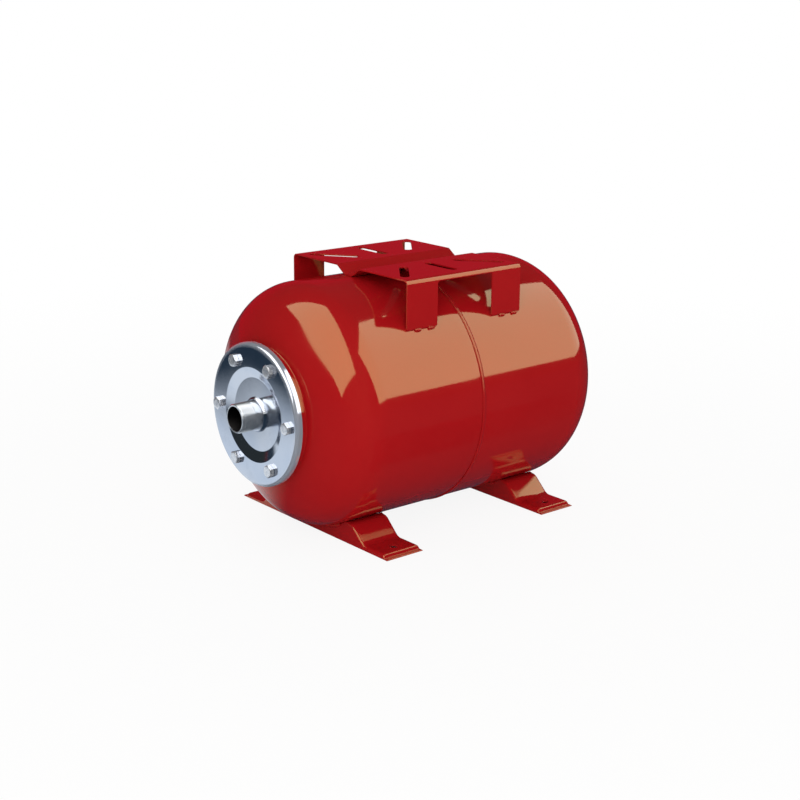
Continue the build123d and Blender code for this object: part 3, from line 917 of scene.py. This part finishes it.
def bentPlate():
    shapes = platformOutlines()
    points, edges = [], []
    for shape in shapes:
        start = len(points)
        points += [Vector(p) for p in shape]
        edges += [(start + i, start + (i + 1) % len(shape)) for i in range(len(shape))]
    reach = plateLength / 2 + 5
    bends = sorted({round(side * p[2], 6) for p in section[1:-1] for side in (-1, 1)})
    for s in bends:
        start = len(points)
        points += [Vector((-reach, s)), Vector((reach, s))]
        edges.append((start, start + 1))
    verts, _, faces, _, _, _ = geometry.delaunay_2d_cdt(points, edges, [], 0, 1e-5)
    kept = []
    for face in faces:
        middle = sum((verts[i] for i in face), Vector((0, 0))) / len(face)
        if inside(middle, shapes[0]) and not any(inside(middle, hole) for hole in shapes[1:]):
            kept.append(face)
    build = bmesh.new()
    used = sorted({i for face in kept for i in face})
    top, bottom = (
        {i: build.verts.new(bendPoint(verts[i].x, verts[i].y, depth)) for i in used}
        for depth in (0, platform["sheet"]))
    sides = {}
    for face in kept:
        build.faces.new([top[i] for i in face])
        build.faces.new([bottom[i] for i in reversed(face)])
        sides.update(dict.fromkeys(zip(face, face[1:] + face[:1])))
    for a, b in sides:
        if (b, a) not in sides:
            build.faces.new((top[b], top[a], bottom[a], bottom[b]))
    return build


def inwardAt(point):
    # square to the sheet at a point on or in it
    here = Vector((abs(point.y) / mm, point.z / mm))
    places = []
    for index in range(1, len(section)):
        start, end = Vector(section[index - 1][:2]), Vector(section[index][:2])
        run = end - start
        share = min(1, max(0, (here - start).dot(run) / run.length_squared))
        places.append(((start + run * share - here).length, index, share))
    _, index, share = min(places)
    normal = normalOn(index, share)
    return Vector((0, normal.x if point.y > 0 else -normal.x, normal.y))


shading = {"wide": 0.98, "cut": 0.3}  # cosines to the sheet's normal


def shadeSheet(mesh):
    # the wide faces take the bent section's own normals, and the cut edges their own
    build = bmesh.new()
    build.from_mesh(mesh)
    square = {face: face.normal.dot(inwardAt(face.calc_center_median())) for face in build.faces}
    normals = []
    for vert in build.verts:
        wide = [square[face] for face in vert.link_faces if abs(square[face]) > shading["wide"]]
        if wide:
            normals.append(inwardAt(vert.co) * (1 if wide[0] > 0 else -1))
            continue
        walls = [face for face in vert.link_faces if abs(square[face]) < shading["cut"]]
        shares = (face.normal * face.calc_area() for face in walls or vert.link_faces)
        normals.append(sum(shares, Vector()).normalized())
    build.free()
    mesh.normals_split_custom_set_from_vertices(normals)


plateBevel = {
    "width": platform["edge"] * mm,
    "segments": 2,
    "limit_method": "ANGLE",
    "angle_limit": radians(50),
}
plate = addPiece(
    "pumpPlatform", bentPlate(), "red_enamel", "pump_platform", sharp=None, bevel=plateBevel)
shadeSheet(plate.data)


beadLook = {
    "around": 12,
    "ripple": 0.09,
    "pitch": 1.1,
    "end": 1.3,  # length of the rounded end, over the radius
    "drift": 0.35,
    "driftScale": 260,
    "least": 0.02,
}


def beadAlong(build, path, radius, seed):
    # a weld bead: a tube along the path whose size wanders and ripples, with rounded ends
    length, rings, around = 0.0, [], beadLook["around"]
    total = sum((b - a).length for a, b in zip(path, path[1:]))
    for index, point in enumerate(path):
        if index:
            length += (point - path[index - 1]).length
        ahead = (path[min(index + 1, len(path) - 1)] - path[max(index - 1, 0)]).normalized()
        outward = Vector((0, point.y, point.z - axisZ)).normalized()
        side = ahead.cross(outward).normalized()
        end = min(1.0, min(length, total - length) / (radius * beadLook["end"] * mm))
        size = radius * sqrt(max(0.0, 1 - (1 - end) ** 2))
        wave = beadLook["ripple"] * cos(2 * pi * length / (beadLook["pitch"] * mm))
        drift = beadLook["drift"] * noise.noise(Vector((length * beadLook["driftScale"], seed, 0.3)))
        size = max(size * (1 + wave + drift), beadLook["least"])
        spokes = (2 * pi * i / around for i in range(around))
        spokes = ((side * cos(t) + outward * sin(t)) * size * mm for t in spokes)
        rings.append([build.verts.new(point + spoke) for spoke in spokes])
    for first, second in zip(rings, rings[1:]):
        for i in range(around):
            j = (i + 1) % around
            build.faces.new((first[i], first[j], second[j], second[i]))
    build.faces.new(rings[0][::-1])
    build.faces.new(rings[-1])


stitch = {
    "radius": 1.7,
    "length": 9.0,
    "offsets": (-6.0, 13.0),  # from the leg's middle
    "seat": 0.9,
    "beyond": 1.0,
    "sway": 0.5,
    "steps": 44,
}
legMiddle = (plateLength - platform["leg"]) / 2
build = bmesh.new()
edgeTurn = atan2(plateHalf, legBottom - axisZ / mm)
seatR = tankR + stitch["seat"]
for sideX in (-1, 1):
    for sideY in (-1, 1):
        for number, offset in enumerate(stitch["offsets"]):
            path = []
            for step in range(stitch["steps"] + 1):
                x = sideX * legMiddle + offset + stitch["length"] * (step / stitch["steps"] - 0.5)
                sway = stitch["sway"] * noise.noise(Vector((x * 0.35, sideY * 3.1, 2.2)))
                turn = sideY * (edgeTurn + (stitch["beyond"] + sway) / seatR)
                path.append(onAxis(x, seatR, turn, toRear))
            beadAlong(build, path, stitch["radius"], sideX * 7 + sideY * 3 + number)
addPiece("platformWelds", build, "red_enamel", "platform_welds", finishName="weld_enamel", sharp=60)
print("pump platform")


foot = {
    "sheet": 2.0,
    "bend": 4.0,
    "width": 51.6,
    "span": 276.0,
    "saddle": 66.0,
    "shoulder": 75.0,
    "padStart": 96.5,
    "padEnd": 131.5,
    "toe": 132.9,
    "padHeight": 5.4,
    "lip": 1.2,
    "bends": (9.0, 14.0, 4.0),
    "hole": 4.5,
    "holeSpread": 236.0,
    "drill": 4.5,
    "seatGap": 0.25,
    "saddleBend": 0.6,
    "lipBend": 0.8,
    "lipEdge": 0.4,
    "saddleSteps": 22,
    "longest": 4,  # of the steps outside the saddle
}


def footStations():
    # (across, height of the web, bend radius) from the middle to the toe
    seat, height = tankR + foot["seatGap"], axisZ / mm
    acrosses = [foot["saddle"] * step / foot["saddleSteps"] for step in range(foot["saddleSteps"] + 1)]
    stations = [(y, height - sqrt(seat ** 2 - y ** 2)) for y in acrosses]
    pad, lip, edge = foot["padHeight"], foot["lip"], foot["lipEdge"]
    lipY = foot["padEnd"] + (foot["toe"] - foot["padEnd"]) * (pad - lip) / pad
    outer = rounded([
        (*stations[-1], 0),
        (foot["shoulder"], stations[-1][1], foot["bends"][0]),
        (foot["padStart"], pad, foot["bends"][1]),
        (foot["padEnd"], pad, foot["bends"][2]),
        (lipY, lip, foot["lipBend"]),
        (foot["span"] / 2 - edge, lip, edge),
        (foot["span"] / 2, lip - edge, 0),
    ], 8)
    dense = []
    for first, second in zip(outer, outer[1:]):
        parts = max(1, ceil((second[0] - first[0]) / foot["longest"]))
        dense += [tuple(a + (b - a) * i / parts for a, b in zip(first, second)) for i in range(parts)]
    stations += dense[1:] + [outer[-1]]
    grown = [min(1, max(0, (y - foot["saddle"] + 1) / 6)) for y, z in stations]
    start, end = foot["saddleBend"], foot["bend"]
    return [(y, z, start + (end - start) * share) for (y, z), share in zip(stations, grown)]


def footSection(y, height, radius, drop, halfWidth):
    # one cut across the tray: x and z from the floor up, over and down
    top = max(height - drop, 0.0)
    radius = min(max(radius, 0.05), max(top * 0.95, 0.001))
    side = arc(-halfWidth + radius, top - radius, radius, 180, 90, 8)
    middle = [(-halfWidth * 0.5, top), (0, top), (halfWidth * 0.5, top)]
    wall = [(-halfWidth, 0.0), (-halfWidth, (top - radius) * 0.5)]
    left = wall + side
    return left + middle + [(-x, z) for x, z in reversed(left)]


def footMesh(centreX):
    line = footStations()
    stations = [(-y, z, r) for y, z, r in reversed(line[1:])] + line
    halfWidth, sheet = foot["width"] / 2, foot["sheet"]
    build, rows = bmesh.new(), []
    for index, (y, z, r) in enumerate(stations):
        before, after = stations[max(index - 1, 0)], stations[min(index + 1, len(stations) - 1)]
        slope = atan2(after[1] - before[1], after[0] - before[0])
        outer = footSection(y, z, r, 0, halfWidth)
        inner = footSection(y, z, r - sheet, sheet / max(cos(slope), 0.3), halfWidth - sheet)
        loop = outer + inner[::-1]
        rows.append([build.verts.new(Vector((centreX + x * mm, y * mm, h * mm))) for x, h in loop])
    for first, second in zip(rows, rows[1:]):
        for i in range(len(first)):
            j = (i + 1) % len(first)
            build.faces.new((first[i], first[j], second[j], second[i]))
    for row in (rows[0], rows[-1][::-1]):
        for i in range(len(row) // 2 - 1):
            build.faces.new((row[i], row[i + 1], row[-2 - i], row[-1 - i]))
    bmesh.ops.remove_doubles(build, verts=build.verts, dist=0.00001)
    return build


footBoxes = {name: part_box(name) for name in ("front_foot", "rear_foot")}
for name, (low, high) in footBoxes.items():
    centreX = (low.x + high.x) / 2
    piece = addPiece(name.replace("_foot", "Foot"), footMesh(centreX), "red_enamel", name)
    holeY, holeZ = foot["holeSpread"] / 2 * mm, foot["padHeight"] * mm
    holes = [Vector((centreX, side * holeY, holeZ)) for side in (-1, 1)]
    drilled(piece, foot["hole"], holes, (0, 0, 1), foot["drill"])

footBead = {
    "radius": 1.9,
    "middle": 17.07,  # degrees from straight down
    "arc": 12.0,
    "seat": 1.1,
    "stand": 1.0,
    "sway": 0.3,
    "steps": 139,
}
build = bmesh.new()
for low, high in footBoxes.values():
    for edgeX, sideX in ((low.x, -1), (high.x, 1)):
        for sideY in (-1, 1):
            path = []
            for step in range(footBead["steps"] + 1):
                swing = footBead["middle"] + footBead["arc"] * (step / footBead["steps"] - 0.5)
                along = (edgeX - seamX) / mm + sideX * footBead["stand"]
                along += footBead["sway"] * noise.noise(Vector((step * 0.08, edgeX * 40, sideY * 2.0)))
                turn = radians(180 + sideY * swing)
                path.append(onAxis(along, tankR + footBead["seat"], turn, toRear))
            beadAlong(build, path, footBead["radius"], edgeX * 90 + sideY)
addPiece("footWelds", build, "red_enamel", "foot_welds", finishName="weld_enamel", sharp=60)
print("feet")


def fromSeam(box):
    # where a box starts and ends along the axis
    return [(corner.x - seamX) / mm for corner in box]


boss = {
    "outer": 10.0,
    "bore": 5.1,
    "threadDepth": 0.5,
    "pitch": 1.25,
    "threaded": 7.0,
    "runOut": 6.0,
    "chamfer": (0.5, 0.6),
    "mouth": 0.3,
    "rows": 56,
}
bossStart, bossEnd = fromSeam(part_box("valve_boss"))
chamferLength, chamferDepth = boss["chamfer"]
bossLine = [(bossStart, boss["bore"]), (bossStart, boss["outer"])]
bossLine += rows(bossEnd - boss["threaded"], bossEnd - chamferLength, boss["outer"], boss["rows"])
bossLine += [(bossEnd, boss["outer"] - chamferDepth), (bossEnd, boss["bore"] + boss["mouth"])]
bossLine += [(bossEnd - boss["mouth"], boss["bore"])]
thread = threadRadius(
    boss["outer"], boss["threadDepth"], boss["pitch"], bossEnd - boss["runOut"], bossEnd + 1)
addPiece("valveBoss", spin(bossLine, toRear, 96, thread), "red_enamel", "valve_boss", sharp=50)

bossWeld = {
    "inner": 10.1,
    "throat": 2.2,
    "hollow": 0.9,
    "root": (0.2, 0.35),
    "ripples": 54,
    "rippleDepth": 0.09,
    "swell": 0.12,
}
weldFoot = rearCentre + sqrt(tank["crown"] ** 2 - bossWeld["inner"] ** 2)
throat, weldOuter = bossWeld["throat"], bossWeld["inner"] + bossWeld["throat"]
weldLine = [(weldFoot - bossWeld["root"][0], bossWeld["inner"])]
for turn in (radians(angle) for angle in range(0, 91, 10)):
    rise = throat - throat * sin(turn) * bossWeld["hollow"]
    weldLine.append((weldFoot + rise, weldOuter - throat * cos(turn)))
weldLine.append((weldFoot - bossWeld["root"][1], weldOuter))


def bossRipple(along, radius, turn):
    lift = min(1.0, max(0.0, (along - weldFoot) / throat))
    wave = bossWeld["rippleDepth"] * cos(bossWeld["ripples"] * turn + along)
    swell = bossWeld["swell"] * noise.noise(Vector((4 * cos(turn), 4 * sin(turn), 8.3)))
    return along, radius + lift * (wave + swell)


addPiece(
    "bossWeld", spin(weldLine, toRear, 8 * bossWeld["ripples"], bossRipple),
    "red_enamel", "boss_weld", finishName="weld_enamel", sharp=60)

stem = {
    "outer": 5.0,
    "bore": 2.55,
    "edge": 0.4,
    "flats": 12.0,
    "head": 2.5,
    "headTop": (5.4, 3.9),
    "neck": 3.85,
    "neckFrom": 1.0,
    "neckTo": 0.6,
    "neckTip": 0.55,
    "pitch": 0.794,
    "threadDepth": 0.45,
    "rows": 10,  # to each turn of the thread
}
stemStart, stemEnd = fromSeam(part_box("valve_stem"))
neckStart, neckStop = bossEnd + stem["head"] + stem["neckFrom"], stemEnd - stem["neckTo"]
neckRows = int((neckStop - neckStart) / stem["pitch"] * stem["rows"])
stemHexagon = hexagon(stem["flats"], stem["head"], 0.93)
neckShape = threadRadius(stem["neck"], stem["threadDepth"], stem["pitch"], neckStart, stemEnd + 1)
low, high = stemStart - bossEnd, stemEnd - bossEnd
stemLine = [(low, stem["bore"]), (low, stem["outer"] - stem["edge"])]
stemLine += [(low + stem["edge"], stem["outer"]), (-0.02, stem["outer"])] + hexagonLevels
stemLine += [(stem["head"], radius) for radius in stem["headTop"]]
stemLine += rows(neckStart - bossEnd, neckStop - bossEnd, stem["neck"], neckRows)
stemLine += [(high, stem["neck"] - stem["neckTip"]), (high, stem["bore"])]


def stemShape(height, radius, turn):
    if isinstance(height, str):
        return stemHexagon(height, radius, turn)
    along, radius = neckShape(height + bossEnd, radius, turn)
    return along - bossEnd, radius


stemPlace = Matrix.Translation(onAxis(bossEnd, 0, 0, toRear)) @ facingAlong((1, 0, 0))
build = rod(bmesh.new(), stemLine, stemPlace, 96, stemShape)
addPiece("valveStem", build, "valve_brass", "valve_stem", sharp=30)

cover = {
    "outer": 12.8,
    "inner": 10.3,
    "bore": 8.4,
    "end": 2.2,
    "flat": 6.0,
    "bevel": 1.25,
    "rim": (0.4, 0.1),
    "mouth": 0.3,
    "flutes": 24,
    "fluteDepth": 0.55,
    "fluteStart": 2.6,
    "fluteFade": (1.2, 1.6),
    "rows": 26,
}
coverStart, coverEnd = fromSeam(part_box("valve_cover"))
shoulder = fromSeam(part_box("cover_seal"))[1]
coverR, bevel, mouth = cover["outer"], cover["bevel"], cover["mouth"]
coverLine = [(coverEnd, 0), (coverEnd, cover["flat"])]
coverLine += arc(coverEnd - bevel, coverR - bevel, bevel, 0, 90, 8)
coverLine += rows(coverEnd - bevel, coverStart + cover["rim"][0], coverR, cover["rows"])[1:-1]
coverLine += [(coverStart + mouth, coverR - cover["rim"][1]), (coverStart, coverR - cover["rim"][0])]
coverLine += [(coverStart, cover["inner"] + mouth), (coverStart + mouth, cover["inner"])]
coverLine += [(shoulder, cover["inner"]), (shoulder, cover["bore"])]
coverLine += [(coverEnd - cover["end"], cover["bore"]), (coverEnd - cover["end"], 0)]


def coverFlutes(along, radius, turn):
    start = coverStart + cover["fluteStart"]
    if radius < coverR - 1.3 or along < start:
        return along, radius
    fadeIn, fadeOut = cover["fluteFade"]
    fade = min(1.0, (along - start) / fadeIn, max(0.0, (coverEnd - 0.2 - along) / fadeOut))
    return along, radius - cover["fluteDepth"] * fade * (0.5 - 0.5 * cos(cover["flutes"] * turn)) ** 0.6


addPiece(
    "valveCover", spin(coverLine, toRear, 8 * cover["flutes"], coverFlutes),
    "cover_plastic", "valve_cover", body="cover", sharp=45)

# the spring is pressed between the core's ledge and the pin's collar, as the CAD node has it; the share
# of its length it keeps at the pin's full travel is worked out but not applied
springLow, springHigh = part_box("valve_spring")
pinTravel = next(joint for joint in frame["joints"] if joint["name"] == "valve_pin_press")["range_m"][1]
spring = linked("valveSpring", frame["nodes"]["valve_spring"].data.copy())
smoothed(spring.data)
painted(spring.data, "valve_steel")
standsFor(spring, "valve_spring")
springKeep = 1 - pinTravel / (springHigh.x - springLow.x)
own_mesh(spring)

keptNodes = {
    "weld_nuts": "nut_steel",
    "bladder": "bladder_rubber",
    "valve_core": "valve_brass",
    "core_seal": "seal_rubber",
    "valve_pin": "valve_steel",
    "poppet_seal": "seal_rubber",
    "cover_seal": "seal_rubber",
}
for node, finishName in keptNodes.items():
    painted(frame["nodes"][node].data, finishName)
print("air valve and inner pieces")


studio = {
    "floorSize": 60.0,
    "screed": ((0.88, 0.88, 0.88), (0.92, 0.92, 0.92)),
    "whiteNear": 0.90,  # share of plain white that hides the floor's own shading near the tank
    "whiteFrom": (0.5, 1.4),  # distances between which that share grows to all of it
    "footEdge": (0.001, 0.003),  # inside a foot, where the white ends
    "pool": (0.76, 0.83, 0.90),  # painted reflection: a pale glowing patch of floor, seen by reflections only, that the flange mirrors
    "poolRise": (0.02, 0.13),
    "poolSlant": 1.6,
    "poolFall": (0.90, 1.75),
    "poolWest": (-1.0, -0.8),
    "poolEast": (0.02, 0.25),
    # the floor as reflections see it, a dark glow: painted reflection
    "darkFloor": (0.024, 0.040, 0.060),
    "darkRoom": (0.028, 0.03325, 0.035),
    "backWall": (0.40, 0.015, 0.030),  # painted reflection: a red patch, seen by reflections only, that the top of the platform mirrors
    "backWallAt": (0.64, 0.77),
    "backWallEdge": (0.45, 0.75),
    "backWallTop": (0.30, 0.55),
    "fill": 0.63,
}


def between(net, value, low, high):
    # 1 between low and high with soft edges, 0 outside
    near, far = studio["footEdge"]
    return net.range(value, low + near, low + far) * net.range(value, high - far, high - near, 1, 0)


def paleFloor(net):
    where = net.add("ShaderNodeNewGeometry", None, None, "Position")
    eastward, northward = net.parts(where, 0), net.parts(where, 1)
    slant = northward - eastward * studio["poolSlant"]
    pool = net.range(northward, *studio["poolRise"], 0, 1, "SMOOTHSTEP")
    pool = pool * net.range(slant, *studio["poolFall"], 1, 0, "SMOOTHSTEP")
    pool = pool * net.range(eastward, *studio["poolWest"])
    pool = pool * net.range(eastward, *studio["poolEast"], 1, 0)
    away = (eastward * eastward + northward * northward) ** 0.5
    white = net.range(away, *studio["whiteFrom"], studio["whiteNear"], 1.0)
    for low, high in footBoxes.values():
        # no white inside a foot, which shows through the bolt holes
        within = between(net, eastward, low.x, high.x) * between(net, northward, low.y, high.y)
        white = white * (1 - within)
    screed = net.blend(net.noise(40, 3), *studio["screed"])
    surface = net.add("ShaderNodeBsdfDiffuse", None, {"Color": screed}, "BSDF")
    glow = net.add("ShaderNodeEmission", None, {"Color": (1, 1, 1), "Strength": 1.0})
    # reflections see the floor as a glow, dark with the pale pool: a painted reflection
    mirrored = net.blend(pool, studio["darkFloor"], studio["pool"])
    mirrored = net.add("ShaderNodeEmission", None, {"Color": mirrored, "Strength": 1.0})
    straight = white * (net.ray("Is Camera Ray") + net.ray("Is Transmission Ray"))
    seen = net.add("ShaderNodeMixShader", None, {0: straight, 1: surface, 2: glow})
    return net.add("ShaderNodeMixShader", None, {0: net.ray("Is Glossy Ray"), 1: seen, 2: mirrored})


def staged(name, build, material):
    made = objectOf(name, build)
    made.data.materials.append(material)
    return made


build = bmesh.new()
bmesh.ops.create_grid(build, x_segments=8, y_segments=8, size=studio["floorSize"] / 2)
floor = staged("floor", build, finish("paleFloor", paleFloor))
floor.location = (0, 0, -0.0002)

# a low dark flag that only reflections see: a painted shade on the tank's underside, which keeps the
# glare of the feet off it
flag = {
    "west": -0.16,
    "east": 0.40,
    "south": -0.21,
    "top": 0.11,
    "cloth": ((0.026, 0.044, 0.066), (0.034, 0.054, 0.080)),
}


def flagCloth(net):
    cloth = net.blend(net.noise(900, 2), *flag["cloth"])
    return net.add("ShaderNodeBsdfDiffuse", None, {"Color": cloth}, "BSDF")


build = bmesh.new()
west, east, top = flag["west"], flag["east"], flag["top"]
corners = [(west, 0), (east, 0), (east, top), (west, top)]
build.faces.new([build.verts.new((x, flag["south"], z)) for x, z in corners])
flagPiece = staged("flag", build, finish("darkFlag", flagCloth))
flagPiece.visible_camera = flagPiece.visible_diffuse = flagPiece.visible_shadow = False

world = bpy.data.worlds.new("studio")
bpy.context.scene.world = world
net = Net(world)
towards = net.add("ShaderNodeTexCoord", output="Generated")
eastShare, northShare = studio["backWallAt"]
behind = net.parts(towards, 0) * eastShare + net.parts(towards, 1) * northShare
below = net.range(net.parts(towards, 2), *studio["backWallTop"], 1, 0)
behind = net.range(behind, *studio["backWallEdge"]) * below
wall = net.blend(behind, studio["darkRoom"], studio["backWall"])
# reflections see a dark room instead of the white, with the red patch behind: a painted reflection on
# the platform's top
tone = net.blend(net.ray("Is Glossy Ray"), (1, 1, 1), wall)
lit = net.ray("Is Camera Ray") + net.ray("Is Diffuse Ray") * studio["fill"]
lit = lit + net.ray("Is Glossy Ray") + net.ray("Is Transmission Ray")
background = net.add("ShaderNodeBackground", None, {"Color": tone, "Strength": lit})
net.end(background, "ShaderNodeOutputWorld")

# directions as seen from the tank, and sizes over the distance
# Gloss is what gloss mirrors, Light is what lights the matt colour under it
boxes = {
    "distance": 2.4,
    "colour": (1.0, 0.975, 0.93),
    "keyBox": {
        "centre": (0.45, -0.43, 0.45),
        "wide": ((0.738, 0.674, -0.016), 1.42),
        "tall": ((-0.287, 0.47, 0.835), 1.04),
        "parts": {"Gloss": 2.36, "Light": 0.30},
    },
    "sideBox": {
        "centre": (-0.470, -0.02, 0.543),
        "wide": ((0.414, 0.817, 0.40), 1.6),
        "tall": ((0.617, -0.483, 0.620), 1.09),
        "parts": {"Gloss": 2.36, "Light": 0.30},
    },
    "frontBox": {
        "centre": (-0.60, -0.70, 0.36),
        "wide": ((0.76, -0.65, 0), 1.0),
        "tall": ((0.23, 0.27, 0.93), 1.0),
        "parts": {"Light": 1.68},
    },
    "backBox": {
        "centre": (0.60, 0.70, 0.36),
        "wide": ((0.76, -0.65, 0), 1.0),
        "tall": ((-0.23, -0.27, 0.93), 1.0),
        "parts": {"Light": 1.0},
    },
}


def softbox(name, centre, wide, tall, parts):
    distance = boxes["distance"]
    place = Vector(centre).normalized() * distance
    xAxis = Vector(wide[0]).normalized()
    yAxis = Vector(tall[0]).normalized()
    yAxis = (yAxis - xAxis * yAxis.dot(xAxis)).normalized()
    zAxis = xAxis.cross(yAxis)
    if zAxis.dot(place) < 0:
        xAxis, zAxis = -xAxis, -zAxis
    turn = Matrix((xAxis, yAxis, zAxis)).transposed().to_4x4()
    for part, radiance in parts.items():
        light = bpy.data.lights.new(name + part, "AREA")
        light.shape = "RECTANGLE"
        light.size, light.size_y = wide[1] * distance, tall[1] * distance
        light.energy = radiance * pi * light.size * light.size_y
        light.color = boxes["colour"]
        lamp = linked(name + part, light)
        lamp.matrix_world = Matrix.Translation(Vector((0, 0, axisZ)) + place) @ turn
        lamp.visible_camera = False
        lamp.visible_diffuse = part == "Light"
        lamp.visible_glossy = part == "Gloss"


for name in ("keyBox", "sideBox", "frontBox", "backBox"):
    softbox(name, **boxes[name])

eye = {
    "place": (-1137.129, -1346.592, 478.424),  # from the seam and the axis
    "right": (0.76755, -0.64091, 0.00954),
    "up": (0.16757, 0.21500, 0.96213),
    "forward": (0.61869, 0.73689, -0.27242),
    "lens": 69.10,
}
cameraData = bpy.data.cameras.new("camera")
cameraData.sensor_width, cameraData.lens = 36.0, eye["lens"]
cameraData.clip_end = 100
camera = linked("camera", cameraData)
turn = Matrix((Vector(eye["right"]), Vector(eye["up"]), -Vector(eye["forward"]))).transposed().to_4x4()
spot = Vector((seamX, 0, axisZ)) + Vector(eye["place"]) * mm
camera.matrix_world = Matrix.Translation(spot) @ turn
bpy.context.scene.camera = camera
bpy.context.scene.view_settings.view_transform = "Standard"
print("studio")
